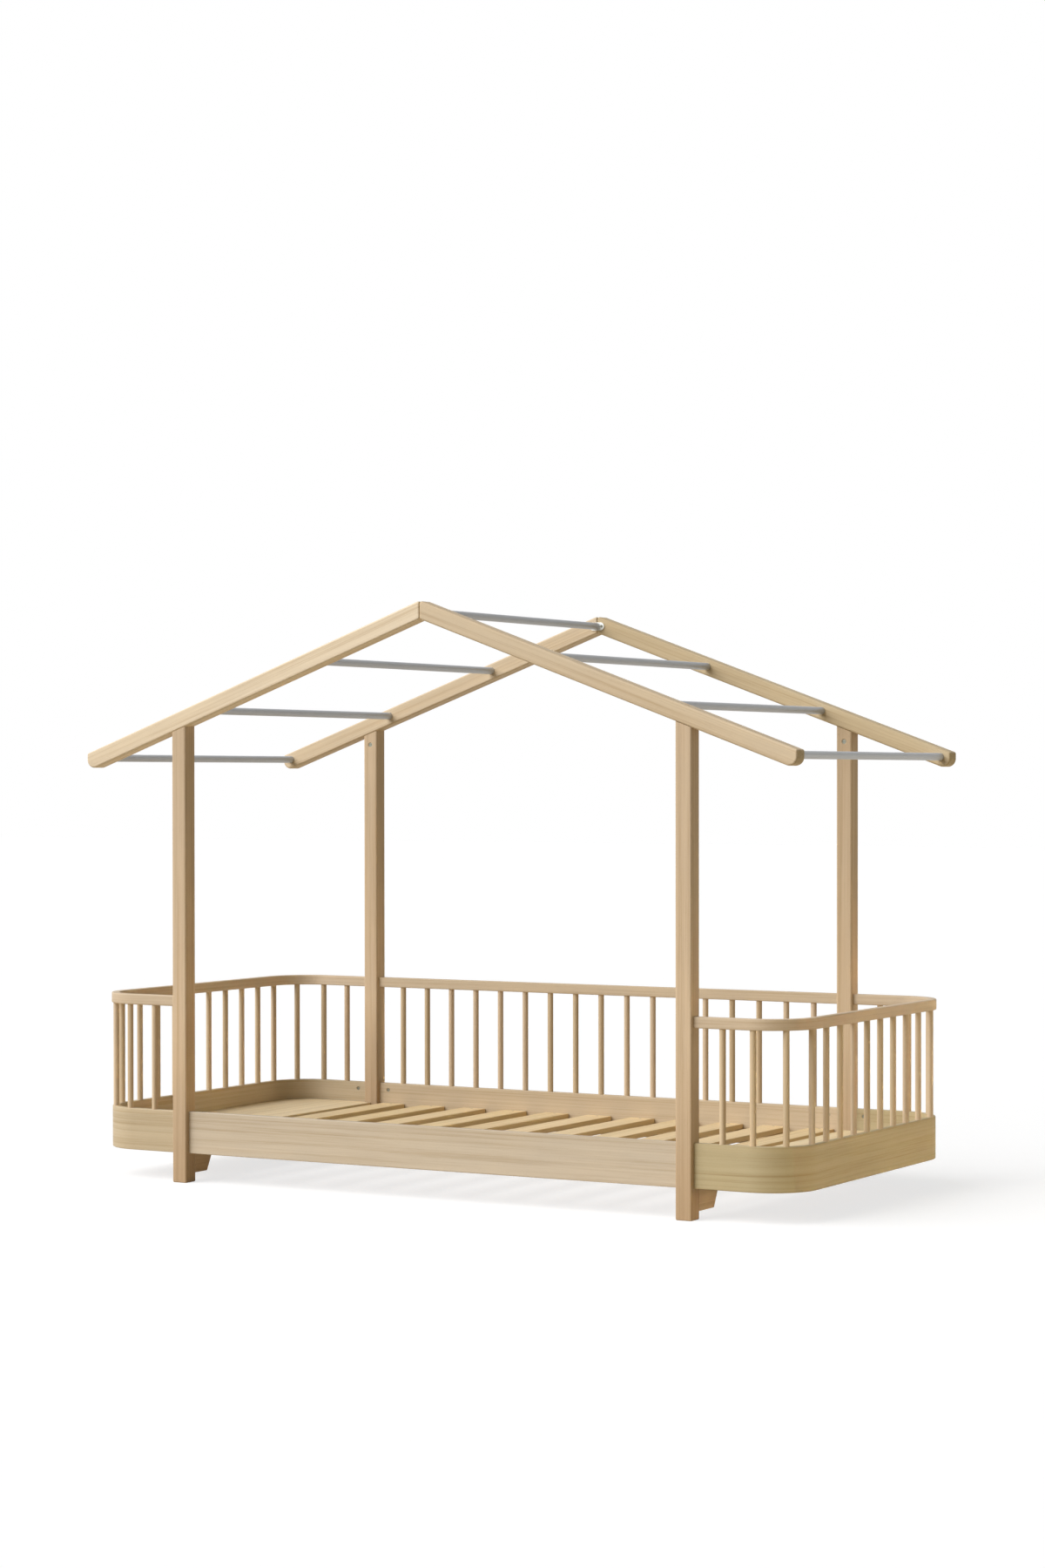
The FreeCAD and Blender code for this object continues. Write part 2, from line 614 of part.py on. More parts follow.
def end_ledge_screws(make):
    """Screws, or their bores, that hold the right end's three battens."""
    start_x = END_IN_X - LEDGE_W
    made = [make(Vector(start_x, y, LEDGE_SCREW_Z), X_AXIS, LEDGE_SCREW_L) for y in END_SCREW_YS]
    for row in (-1, 1):
        start_y = row * (RAIL_IN_Y - LEDGE_W)
        made += [make(Vector(x, start_y, LEDGE_SCREW_Z), Y_AXIS * row, LEDGE_SCREW_L)
                 for x in LEG_SCREW_XS]
    return made


def panel_screws(make):
    """Screws, or their bores, up through the end batten into the right end panel."""
    x = END_IN_X - LEDGE_W / 2
    return [make(Vector(x, (y0 + y1) / 2, LEDGE_Z), Z_AXIS, LEDGE_H + PANEL_SCREW_BITE)
            for y0, y1 in zip(END_SCREW_YS, END_SCREW_YS[1:])]


def slat_screw(x, row, make):
    return make(Vector(x, row * SLAT_SCREW_Y, DECK_Z), Vector(0, 0, -1), SLAT_SCREW_L)


def batten_y(row):
    return sorted((row * RAIL_IN_Y, row * (RAIL_IN_Y - LEDGE_W)))


def side_ledge(row):
    y0, y1 = batten_y(row)
    body = block(-SIDE_LEDGE_X, SIDE_LEDGE_X, y0, y1, LEDGE_Z, LEDGE_TOP)
    tools = [slat_screw(x, row, screw_bore) for x in SLAT_STATIONS]
    return body.cut(tools + side_ledge_screws(row, screw_bore))


def end_ledges():
    """Three battens inside the right end rail: one across the end and one along each leg."""
    across = block(END_IN_X - LEDGE_W, END_IN_X, -END_LEDGE_Y, END_LEDGE_Y, LEDGE_Z, LEDGE_TOP)
    tools = end_ledge_screws(screw_bore) + panel_screws(screw_bore)
    battens = [across]
    for row in (-1, 1):
        y0, y1 = batten_y(row)
        battens.append(block(LEG_LEDGE_X0, LEG_LEDGE_X1, y0, y1, LEDGE_Z, LEDGE_TOP))
    return [batten.cut(tools) for batten in battens]


# ---------------------------------------------------------------- slats and end panels
def slat(x):
    body = block(x - SLAT_W / 2, x + SLAT_W / 2, -SLAT_END_Y, SLAT_END_Y, LEDGE_TOP, DECK_Z)
    body = body.makeFillet(SLAT_EDGE_R, edges_along(body, Y_AXIS))
    return body.cut([slat_screw(x, row, screw_bore) for row in (-1, 1)])


def end_panel():
    """Right end's D-shaped board, notched round the two posts."""
    neck_y = POST_IN_Y - SLAT_CLEAR
    full_y = RAIL_IN_Y - SLAT_CLEAR
    neck_x = POST_OUT_X + SLAT_CLEAR
    end_x = END_IN_X - SLAT_CLEAR
    bend = CORNER_R - BASE_T / 2 - SLAT_CLEAR
    corners = [Vector(POST_X, -neck_y, LEDGE_TOP), Vector(neck_x, -neck_y, LEDGE_TOP),
               Vector(neck_x, -full_y, LEDGE_TOP), Vector(end_x, -full_y, LEDGE_TOP),
               Vector(end_x, full_y, LEDGE_TOP), Vector(neck_x, full_y, LEDGE_TOP),
               Vector(neck_x, neck_y, LEDGE_TOP), Vector(POST_X, neck_y, LEDGE_TOP)]
    board = prism(corners, [0, 0, 0, bend, bend, 0, 0, 0], Vector(0, 0, SLAT_T))
    return board.cut(panel_screws(screw_bore))


# ---------------------------------------------------------------- arched cross rails
def cross_rail():
    """Right cross rail: two feet that stop above the floor, with an arch between them."""
    x0 = CROSS_X - CROSS_T / 2
    foot_y = POST_IN_Y - CROSS_FOOT_L
    crown_y = foot_y - CROSS_RUN
    half = [(POST_IN_Y, LEDGE_TOP, 0), (POST_IN_Y, CROSS_FOOT_Z, 0),
            (foot_y, CROSS_FOOT_Z, CROSS_FOOT_R), (crown_y, CROSS_CROWN_Z, CROSS_CROWN_R)]
    right = [(Vector(x0, y, z), r) for y, z, r in half]
    left = [(Vector(x0, -y, z), r) for y, z, r in reversed(half)]
    points = [p for p, _ in right + left]
    radii = [r for _, r in right + left]
    body = prism(points, radii, Vector(CROSS_T, 0, 0))
    tools = []
    for row in (-1, 1):
        for z in CROSS_DOWEL_HEIGHTS:
            tools.append(rod(Vector(CROSS_X, row * POST_IN_Y, z), Y_AXIS * -row, DOWEL_R + DOWEL_FIT,
                             DOWEL_L / 2 + BORE_SPARE))
    return body.cut(tools)


# ---------------------------------------------------------------- put the bed together
parts = {}


def add(name, *solids):
    flat = []
    for item in solids:
        flat += item if isinstance(item, (list, tuple)) else [item]
    parts[name] = flat


for row_name, row in ROWS:
    for side_name, side in SIDES:
        add(f"post_{row_name}_{side_name}", mirror_x(post(row), side))
        add(f"rafter_{row_name}_{side_name}", mirror_y(mirror_x(rafter(), side), row))

TUBE_NAMES = ("upper", "lower", "eave")
for side_name, side in SIDES:
    for i, x in enumerate(TUBE_STATIONS):
        label = TUBE_NAMES[i] if TUBES_PER_SLOPE == len(TUBE_NAMES) else f"roof_{i + 1}"
        add(f"{label}_tube_{side_name}", roof_tube(side * x, tube_z(x)))
add("ridge_tube", ridge_tube())

add("side_rail_front", side_rail(-1, []))
add("side_rail_rear", side_rail(1, REAR_SPINDLES))
add("guard_rail_rear", guard_rail())
add("spindles_rear", [spindle(x, y) for x, y in REAR_SPINDLES])
add("slat_ledge_front", side_ledge(-1))
add("slat_ledge_rear", side_ledge(1))
for side_name, side in SIDES:
    add(f"end_base_{side_name}", mirror_x(end_base(), side))
    add(f"end_guard_{side_name}", mirror_x(end_guard(), side))
    add(f"spindles_{side_name}_end", [spindle(side * x, y) for x, y in END_SPINDLES])
    add(f"end_panel_{side_name}", mirror_x(end_panel(), side))
    add(f"end_ledges_{side_name}", [mirror_x(batten, side) for batten in end_ledges()])
    add(f"cross_rail_{side_name}", mirror_x(cross_rail(), side))
for i, x in enumerate(SLAT_STATIONS):
    add(f"slat_{i + 1:02d}", slat(x))

rail_studs, rail_nuts, guard_studs, guard_nuts = [], [], [], []
rafter_bolts, cover_plugs, post_nuts = [], [], []
cross_dowels, mitre_dowels = [], []
ridge_plates, ridge_bolts, ridge_plugs, plate_screws = [], [], [], []
stud_reach = POST_W / 2 + RAIL_NUT_INSET + STUD_PAST_NUT
guard_reach = POST_W / 2 + GUARD_NUT_INSET + STUD_PAST_NUT
for _, row in ROWS:
    y = row * POST_Y
    for _, side in SIDES:
        for z in RAIL_STUD_HEIGHTS:
            x = side * POST_X
            rail_studs.append(stud_along_x(x - stud_reach, x + stud_reach, y, z))
            for way in (-1, 1):
                rail_nuts.append(rail_nut(x + way * (POST_W / 2 + RAIL_NUT_INSET), row, z))
        inner = POST_X - guard_reach if row > 0 else POST_OUT_X - GUARD_STUD_IN_POST
        guard_studs.append(mirror_x(stud_along_x(inner, POST_X + guard_reach, y, GUARD_STUD_Z), side))
        guard_nuts.append(guard_nut(side * (POST_OUT_X + GUARD_NUT_INSET), row))
        if row > 0:
            guard_nuts.append(guard_nut(side * (POST_IN_X - GUARD_NUT_INSET), row))
        rafter_bolts.append(mirror_y(mirror_x(rafter_bolt(), side), row))
        cover_plugs.append(mirror_y(mirror_x(cover_plug(), side), row))
        post_nuts.append(mirror_y(mirror_x(post_nut(), side), row))
        for z in CROSS_DOWEL_HEIGHTS:
            start = Vector(side * CROSS_X, row * POST_IN_Y - DOWEL_L / 2, z)
            cross_dowels.append(rod(start, Y_AXIS, DOWEL_R, DOWEL_L))
        fixing = screw(Vector(PLATE_SCREW_X, RIDGE_HALF, RIDGE_TUBE_Z), Y_AXIS, PLATE_SCREW_L)
        plate_screws.append(mirror_y(mirror_x(fixing, side), row))
    for z in MITRE_DOWEL_HEIGHTS:
        mitre_dowels.append(rod(Vector(-DOWEL_L / 2, row * MITRE_DOWEL_Y, z), X_AXIS, DOWEL_R, DOWEL_L))
    ridge_plates.append(mirror_y(ridge_plate(), row))
    ridge_bolts.append(mirror_y(ridge_bolt(), row))
    ridge_plugs.append(mirror_y(ridge_plug(), row))

add("rail_studs", rail_studs)
add("rail_barrel_nuts", rail_nuts)
add("guard_studs", guard_studs)
add("guard_barrel_nuts", guard_nuts)
add("rafter_bolts", rafter_bolts)
add("bolt_cover_plugs", cover_plugs)
add("post_barrel_nuts", post_nuts)
add("cross_rail_dowels", cross_dowels)
add("mitre_dowels", mitre_dowels)
add("ridge_plates", ridge_plates)
add("ridge_bolts", ridge_bolts)
add("ridge_tube_plugs", ridge_plugs)
add("ridge_plate_screws", plate_screws)
add("slat_screws", [slat_screw(x, row, screw) for x in SLAT_STATIONS for row in (-1, 1)])
add("ledge_screws", side_ledge_screws(-1, screw), side_ledge_screws(1, screw),
    [mirror_x(fixing, side) for side in (-1, 1) for fixing in end_ledge_screws(screw)])
add("panel_screws", [mirror_x(fixing, side) for side in (-1, 1) for fixing in panel_screws(screw)])

os.makedirs("parts", exist_ok=True)
for name, solids in parts.items():
    shape = solids[0] if len(solids) == 1 else Part.makeCompound(solids)
    found = shape.Solids
    whole = all(s.isValid() and s.Volume > 0 for s in found) and len(found) == len(solids)
    print(f"{name:24s} {len(found):3d} solids  {shape.Volume / 1000:10.1f} cm3{'' if whole else '  BAD'}")
    shape.exportStep(f"parts/{name}.step")
print(len(parts), "nodes")
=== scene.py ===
import math

import bpy
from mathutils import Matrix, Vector


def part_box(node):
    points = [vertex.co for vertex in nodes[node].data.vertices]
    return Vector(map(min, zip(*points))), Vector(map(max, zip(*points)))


# House frame bed, dressed for its picture: lacquered wood on every board, rail and spindle, satin
# metal on the roof tubes and the fixings. Metres, in the frame of the CAD model: X along the bed,
# -Y the open side, +Z up from the floor. Colours are linear.

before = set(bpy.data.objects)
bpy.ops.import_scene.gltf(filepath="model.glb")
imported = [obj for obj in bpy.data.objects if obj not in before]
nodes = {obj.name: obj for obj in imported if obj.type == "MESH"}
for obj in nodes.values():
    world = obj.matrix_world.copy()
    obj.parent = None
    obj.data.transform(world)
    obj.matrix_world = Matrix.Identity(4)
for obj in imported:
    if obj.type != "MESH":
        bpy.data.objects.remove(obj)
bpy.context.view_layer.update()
X, Y, Z = 0, 1, 2


def put_in_scene(name, data):
    """A new object with that data."""
    made = bpy.data.objects.new(name, data)
    bpy.context.scene.collection.objects.link(made)
    return made


# ---------------------------------------------------------------- camera, fitted to the photograph
PHOTO_H = 1800.0            # pixels
SENSOR = 36.0               # millimetres, along the picture's long side
FOCAL_PX = 3715.7
OPTICAL_AXIS_BELOW = 33.5   # pixels from the middle of the picture
CAMERA_AT = (4.3664, -7.5343, 1.0821)
CAMERA_TURN = 29.99         # degrees from the front, towards the right end
CAMERA_DOWN = 0.62
CAMERA_ROLL = 0.05
CAMERA_REACH = 100.0        # past the floor's far corners

camera_data = bpy.data.cameras.new("camera")
camera_data.sensor_fit = "VERTICAL"
camera_data.sensor_height = SENSOR
camera_data.lens = FOCAL_PX * SENSOR / PHOTO_H
camera_data.shift_y = OPTICAL_AXIS_BELOW / PHOTO_H
camera_data.clip_end = CAMERA_REACH
camera = put_in_scene("camera", camera_data)
camera.location = CAMERA_AT
camera.rotation_euler = (math.radians(90.0 - CAMERA_DOWN), math.radians(CAMERA_ROLL),
                         math.radians(CAMERA_TURN))
bpy.context.scene.camera = camera


# ---------------------------------------------------------------- node helpers
MIX_FACTOR, MIX_A, MIX_B, MIX_RESULT = 0, 6, 7, 2   # the colour sockets of a Mix node


class Graph:
    """A node tree, with short calls to add and join nodes."""

    def __init__(self, owner):
        owner.use_nodes = True
        self.owner = owner
        self.tree = owner.node_tree
        self.tree.nodes.clear()

    def add(self, kind, settings=None, **inputs):
        """A node with its settings and its inputs, whose names have _ for each space."""
        node = self.tree.nodes.new(kind)
        for key, value in (settings or {}).items():
            setattr(node, key, value)
        for key, value in inputs.items():
            self.feed(node, key.replace("_", " "), value)
        return node

    def feed(self, node, socket, value):
        """Join a socket to an input, or set the input to a plain value."""
        target = node.inputs[socket]
        if isinstance(value, bpy.types.NodeSocket):
            self.tree.links.new(value, target)
        else:
            target.default_value = value

    def math(self, operation, a, b=0.0):
        node = self.add("ShaderNodeMath", {"operation": operation})
        self.feed(node, 0, a)
        self.feed(node, 1, b)
        return node.outputs[0]

    def times(self, a, b):
        return self.math("MULTIPLY", a, b)

    def plus(self, a, b):
        return self.math("ADD", a, b)

    def minus(self, a, b):
        return self.math("SUBTRACT", a, b)

    def length(self, a, b):
        """How long the diagonal of a and b is."""
        return self.math("SQRT", self.plus(self.times(a, a), self.times(b, b)))

    def vector(self, x, y, z):
        return self.add("ShaderNodeCombineXYZ", X=x, Y=y, Z=z).outputs[0]

    def noise(self, where, detail=0.0, roughness=0.5, distortion=0.0):
        return self.add("ShaderNodeTexNoise", {"noise_dimensions": "3D"}, Vector=where, Scale=1.0,
                        Detail=detail, Roughness=roughness, Distortion=distortion).outputs["Fac"]

    def ramp(self, value, stops):
        """Colours for a value: each stop is a place from 0 to 1 and a colour."""
        node = self.add("ShaderNodeValToRGB", Fac=value)
        band = node.color_ramp
        while len(band.elements) < len(stops):
            band.elements.new(0.5)
        for element, (place, colour) in zip(band.elements, stops):
            element.position = place
            element.color = (*colour, 1.0)
        return node.outputs["Color"]

    def levels(self, value, low, high, to_low=0.0, to_high=1.0):
        """The value stretched so that low becomes to_low and high becomes to_high."""
        return self.add("ShaderNodeMapRange", {"clamp": True}, Value=value, From_Min=low,
                        From_Max=high, To_Min=to_low, To_Max=to_high).outputs["Result"]

    def tint(self, a, b, factor=1.0, blend="MULTIPLY"):
        """Colour a under colour b: multiplied by it, or mixed with it."""
        node = self.add("ShaderNodeMix", {"data_type": "RGBA", "blend_type": blend})
        for index, value in ((MIX_FACTOR, factor), (MIX_A, a), (MIX_B, b)):
            if isinstance(value, tuple):
                value = (*value, 1.0)
            self.feed(node, index, value)
        return node.outputs[MIX_RESULT]

    def bump(self, height, strength, distance):
        return self.add("ShaderNodeBump", Height=height, Strength=strength,
                        Distance=distance).outputs["Normal"]

    def place(self):
        """Place on the object, in metres, as x, y and z sockets."""
        where = self.add("ShaderNodeTexCoord").outputs["Object"]
        return self.add("ShaderNodeSeparateXYZ", Vector=where).outputs

    def facing(self):
        """Which way the surface faces on the object, as x, y and z sockets."""
        where = self.add("ShaderNodeTexCoord").outputs["Normal"]
        return self.add("ShaderNodeSeparateXYZ", Vector=where).outputs

    def shown_or_not(self, unseen, seen):
        """The shader seen for camera, glossy and transmission rays, and the other for the rest."""
        rays = self.add("ShaderNodeLightPath").outputs
        direct = self.math("MAXIMUM", rays["Is Camera Ray"], rays["Is Glossy Ray"])
        shown = self.math("MAXIMUM", direct, rays["Is Transmission Ray"])
        node = self.add("ShaderNodeMixShader", Fac=shown)
        self.feed(node, 1, unseen.outputs[0])
        self.feed(node, 2, seen.outputs[0])
        return node

    def surface(self, shader, output="ShaderNodeOutputMaterial"):
        """Join the shader to the output, and give back the material or world."""
        self.feed(self.add(output), "Surface", shader.outputs[0])
        return self.owner


# ---------------------------------------------------------------- wood
# Colours of the boards; the right end's rails also carry painted shade. The front rail is cut from
# a greyer board than the posts.
RAIL = (0.520, 0.446, 0.345)
GUARD = (0.573, 0.465, 0.335)
END_RAIL_LEFT = (0.505, 0.418, 0.297)
# painted shade: the right end's rails are darker and less blue than the left end's, standing in for
# the shade where their bends turn away from the key light
END_RAIL_RIGHT_SHADED = (0.446, 0.374, 0.231)
POST = (0.592, 0.457, 0.311)
RAFTER = (0.640, 0.518, 0.352)
PALE_RAFTER = (0.850, 0.715, 0.555)
SPINDLE = (0.605, 0.482, 0.340)
SLAT = (0.780, 0.610, 0.370)
PANEL = (0.790, 0.650, 0.430)
BATTEN = (0.560, 0.410, 0.240)

# Patterns in the wood: how often each comes in a metre along the grain and across it, then the
# detail, the roughness and the distortion of its noise.
FIBRES = (18.0, 1100.0, 2.0, 0.6, 0.0)
STREAKS = (3.0, 330.0, 3.0, 0.6, 0.0)
RINGS = (1.1, 125.0, 2.0, 0.55, 0.35)
FIGURE = (0.9, 20.0, 2.0, 0.5, 0.8)
CLOUDS = (6.0, 11.0, 2.0, 0.5, 0.0)
PORES = (130.0, 1500.0, 1.0, 0.5, 0.0)

# What they do to the board's colour, which is multiplied by these shades.
PLAIN = (1.0, 1.0, 1.0)
RING_SHARE, STREAK_SHARE, FIBRE_SHARE = 0.45, 0.35, 0.20     # of the lines
DARK_LINE, PALE_LINE = 0.34, 0.66                            # about as far as the lines swing
LINE_SHADES = ((DARK_LINE, (0.81, 0.755, 0.67)), (0.50, PLAIN), (PALE_LINE, (1.07, 1.08, 1.09)))
FIGURE_SHADES = ((0.3, (0.945, 0.925, 0.895)), (0.5, PLAIN), (0.7, (1.045, 1.03, 1.01)))
CLOUD_SHADES = ((0.25, (0.97, 0.97, 0.975)), (0.75, (1.03, 1.02, 1.0)))
PORE = (0.80, 0.74, 0.64)
PORE_STARTS, PORE_FULL, PORE_STRENGTH = 0.66, 0.74, 0.5      # only the noise's peaks are pores
END_GRAIN = (0.74, 0.72, 0.60)
END_STARTS, END_FULL = 0.55, 0.95                            # how squarely a face cuts the grain
FOOT = (0.72, 0.67, 0.62)                                    # a post is darker near the floor
BOARDS_APART = 17.0                                          # in the noise, from board to board
TONE_AT = (0.37, 0.61)
TONE_NOISE, TONES = (0.3, 0.7), (0.96, 1.04)                 # a tone of its own for each board

# The thin matt lacquer over it.
DARK_ROUGH, PALE_ROUGH = 0.62, 0.50
SPECULAR = 0.2
FIBRE_HEIGHT, STREAK_HEIGHT, PORE_HEIGHT = 0.5, 0.3, -0.2
RELIEF, RELIEF_DEPTH = 0.22, 0.0005


def wood(name, colour, axes, board, foot_height=0.0):
    """Lacquered wood. axes(graph) gives the places along, across and through the grain, in
    metres, and how squarely the surface cuts it, from 0 to 1; board(graph) gives a number that is
    different on each board. Up to foot_height the wood gets darker towards the floor."""
    g = Graph(bpy.data.materials.new(name))
    along, across, through, end = axes(g)
    offset = g.times(board(g), BOARDS_APART)

    def grain(often_along, often_across, detail, roughness, distortion):
        where = g.vector(g.plus(g.times(along, often_along), offset),
                         g.plus(g.times(across, often_across), offset),
                         g.times(through, often_across))
        return g.noise(where, detail, roughness, distortion)

    fibre = grain(*FIBRES)
    streak = grain(*STREAKS)
    ring = grain(*RINGS)
    pore = grain(*PORES)
    lines = g.plus(g.times(ring, RING_SHARE),
                   g.plus(g.times(streak, STREAK_SHARE), g.times(fibre, FIBRE_SHARE)))

    shade = g.ramp(lines, LINE_SHADES)
    shade = g.tint(shade, g.ramp(grain(*FIGURE), FIGURE_SHADES))
    shade = g.tint(shade, g.ramp(grain(*CLOUDS), CLOUD_SHADES))
    shade = g.tint(shade, PORE, g.levels(pore, PORE_STARTS, PORE_FULL, 0.0, PORE_STRENGTH))
    shade = g.tint(shade, END_GRAIN, g.levels(end, END_STARTS, END_FULL))
    tone = g.levels(g.noise(g.vector(offset, *TONE_AT)), *TONE_NOISE, *TONES)
    shade = g.tint(shade, g.vector(tone, tone, g.times(tone, tone)))
    if foot_height:
        shade = g.tint(shade, FOOT, g.levels(g.place()[Z], 0.0, foot_height, 1.0, 0.0))

    height = g.plus(g.times(fibre, FIBRE_HEIGHT),
                    g.plus(g.times(streak, STREAK_HEIGHT), g.times(pore, PORE_HEIGHT)))
    return g.surface(g.add("ShaderNodeBsdfPrincipled", Base_Color=g.tint(shade, colour),
                           Roughness=g.levels(lines, DARK_LINE, PALE_LINE, DARK_ROUGH, PALE_ROUGH),
                           Normal=g.bump(height, RELIEF, RELIEF_DEPTH),
                           Specular_IOR_Level=SPECULAR))


def straight(along, across, through):
    """Grain straight along one axis of the model."""
    def axes(g):
        places = g.place()
        end = g.math("ABSOLUTE", g.facing()[along])
        return places[along], places[across], places[through], end
    return axes


def down_slope(side, slope):
    """Grain along a rafter that falls to that side: -1 to the left, 1 to the right."""
    run, rise = side * math.cos(slope), -math.sin(slope)

    def axes(g):
        x, y, z = g.place()
        face_x, _, face_z = g.facing()
        along = g.plus(g.times(x, run), g.times(z, rise))
        across = g.minus(g.times(z, run), g.times(x, rise))
        end = g.math("ABSOLUTE", g.plus(g.times(face_x, run), g.times(face_z, rise)))
        return along, across, y, end
    return axes


def round_the_end(corner_x, corner_y, radius):
    """Grain that follows a rail round both bent corners of an end, from the middle of the end.
    The corners' centres are at that x and y, on either side. The rail's ends are at the posts, so
    no end grain shows."""
    half_run = corner_y + 0.5 * math.pi * radius

    def axes(g):
        x, y, z = g.place()
        out = g.minus(g.math("ABSOLUTE", x), corner_x)
        side = g.minus(g.math("ABSOLUTE", y), corner_y)
        past_x = g.math("MAXIMUM", out, 0.0)
        past_y = g.math("MAXIMUM", side, 0.0)
        turn = g.times(g.math("ARCTAN2", past_x, past_y), radius)
        leg = g.plus(turn, g.math("MINIMUM", out, 0.0))
        from_middle = g.plus(g.minus(half_run, leg), g.math("MINIMUM", side, 0.0))
        return g.times(from_middle, g.math("SIGN", y)), z, g.length(past_x, past_y), 0.0
    return axes


def same(number):
    """One board: the same number all over it."""
    return lambda g: number


def each(axis, pitch, number):
    """A row of boards at that pitch along an axis, one of them in the middle: a new number for
    each."""
    def board(g):
        step = g.math("FLOOR", g.plus(g.math("DIVIDE", g.place()[axis], pitch), 0.5))
        return g.plus(g.add("ShaderNodeTexWhiteNoise", {"noise_dimensions": "1D"},
                            W=step).outputs["Value"], number)
    return board


def each_rod(pitch, number):
    """Rods along a side and round the ends: a new number for each. Along X one rod stands in the
    middle, along Y two stand at half the pitch on either side of it."""
    def board(g):
        x, y, _ = g.place()
        step_x = g.math("FLOOR", g.plus(g.math("DIVIDE", x, pitch), 0.5))
        step_y = g.math("FLOOR", g.math("DIVIDE", y, pitch))
        return g.plus(g.add("ShaderNodeTexWhiteNoise", {"noise_dimensions": "2D"},
                            Vector=g.vector(step_x, step_y, 0.0)).outputs["Value"], number)
    return board


# ---------------------------------------------------------------- metal
TUBE = (0.50, 0.52, 0.56)
PLATE = (0.86, 0.88, 0.86)
FIXING = (0.25, 0.25, 0.20)

SCRATCHES_PER_M = 2600.0
SCRATCH_STRETCH = 0.02      # how often they come along the drawn way, next to across it
SCRATCH_NOISE = (3.0, 0.6)  # detail and roughness
SMUDGES_PER_M = 22.0
SMUDGE_NOISE = (3.0, 0.55)
DARK_METAL, PALE_METAL = 0.35, 0.65         # about as far as the mixed noise swings
DARKER, PALER = 0.95, 1.05
SMOOTHER, ROUGHER = -0.05, 0.06
SCRATCH_RELIEF, SCRATCH_DEPTH = 0.12, 0.0002


def metal(name, colour, run, rough, metallic):
    """Satin metal, drawn or polished along one axis of the model."""
    g = Graph(bpy.data.materials.new(name))
    places = list(g.place())
    wide = g.vector(*(g.times(v, SMUDGES_PER_M) for v in places))
    places[run] = g.times(places[run], SCRATCH_STRETCH)
    fine = g.vector(*(g.times(v, SCRATCHES_PER_M) for v in places))
    scratches = g.noise(fine, *SCRATCH_NOISE)
    tone = g.plus(g.times(scratches, 0.5), g.times(g.noise(wide, *SMUDGE_NOISE), 0.5))
    stops = ((DARK_METAL, tuple(DARKER * c for c in colour)),
             (PALE_METAL, tuple(PALER * c for c in colour)))
    return g.surface(g.add("ShaderNodeBsdfPrincipled", Base_Color=g.ramp(tone, stops),
                           Roughness=g.levels(tone, DARK_METAL, PALE_METAL, rough + SMOOTHER,
                                              rough + ROUGHER),
                           Normal=g.bump(scratches, SCRATCH_RELIEF, SCRATCH_DEPTH),
                           Metallic=metallic))


# ---------------------------------------------------------------- which node wears what
ROOF_SLOPE = math.radians(20.0)
CORNER_R = 0.118            # bent corners of the end rails, on the centre line
RAIL_HALF_T = 0.009
SLAT_COUNT = 11
ROD_PITCH = 0.0822          # a little off the true pitches, and still one rod to each step
POST_FADE_Z = 0.45

# Numbers of the boards, which set each one's place in the noise.
FIRST_POST, FIRST_RAFTER, FIRST_RAIL, FIRST_LEFT, FIRST_RIGHT = 1, 11, 21, 31, 34
SPINDLES, SLATS, BATTENS, CROSS_RAILS, DOWELS = 41, 51, 61, 62, 63

along_x = straight(X, Z, Y)
along_y = straight(Y, X, Z)
along_z = straight(Z, X, Y)
end_x, end_y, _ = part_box("end_base_right")[1]
bend = round_the_end(end_x - RAIL_HALF_T - CORNER_R, end_y - RAIL_HALF_T - CORNER_R, CORNER_R)


def dress(material, *names):
    """Give those nodes that material all over."""
    for name in names:
        mesh = nodes[name].data
        mesh.materials.clear()
        mesh.materials.append(material)
        for polygon in mesh.polygons:
            polygon.material_index = 0


def dress_in_wood(name, *look):
    """Give one node a wood of its own."""
    dress(wood(f"wood_{name}", *look), name)


corners = [(row, side) for row in ("front", "rear") for side in ("left", "right")]
for i, (row, side) in enumerate(corners):
    dress_in_wood(f"post_{row}_{side}", POST, along_z, same(FIRST_POST + i), POST_FADE_Z)
    colour = PALE_RAFTER if (row, side) == ("front", "left") else RAFTER
    falls_to = -1 if side == "left" else 1
    dress_in_wood(f"rafter_{row}_{side}", colour, down_slope(falls_to, ROOF_SLOPE),
                  same(FIRST_RAFTER + i))

long_rails = (("side_rail_front", RAIL), ("side_rail_rear", GUARD), ("guard_rail_rear", GUARD))
for i, (name, colour) in enumerate(long_rails):
    dress_in_wood(name, colour, along_x, same(FIRST_RAIL + i))

# the right end's rails take the colour with painted shade in it
ends = (("left", END_RAIL_LEFT, FIRST_LEFT), ("right", END_RAIL_RIGHT_SHADED, FIRST_RIGHT))
for side, colour, first in ends:
    dress_in_wood(f"end_base_{side}", colour, bend, same(first))
    dress_in_wood(f"end_guard_{side}", GUARD, bend, same(first + 1))
    dress_in_wood(f"end_panel_{side}", PANEL, along_y, same(first + 2))

dress(wood("wood_spindles", SPINDLE, along_z, each_rod(ROD_PITCH, SPINDLES)),
      "spindles_rear", "spindles_left_end", "spindles_right_end")

slats = [f"slat_{i + 1:02d}" for i in range(SLAT_COUNT)]
slat_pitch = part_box(slats[1])[0][X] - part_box(slats[0])[0][X]
dress(wood("wood_slats", SLAT, along_y, each(X, slat_pitch, SLATS)), *slats)

dress(wood("wood_battens", BATTEN, along_x, same(BATTENS)), "slat_ledge_front", "slat_ledge_rear")
dress(wood("wood_cross_rails", POST, along_y, same(CROSS_RAILS)),
      "end_ledges_left", "end_ledges_right", "cross_rail_left", "cross_rail_right")
dress(wood("wood_dowels", BATTEN, along_y, same(DOWELS)),
      "cross_rail_dowels", "mitre_dowels", "bolt_cover_plugs")

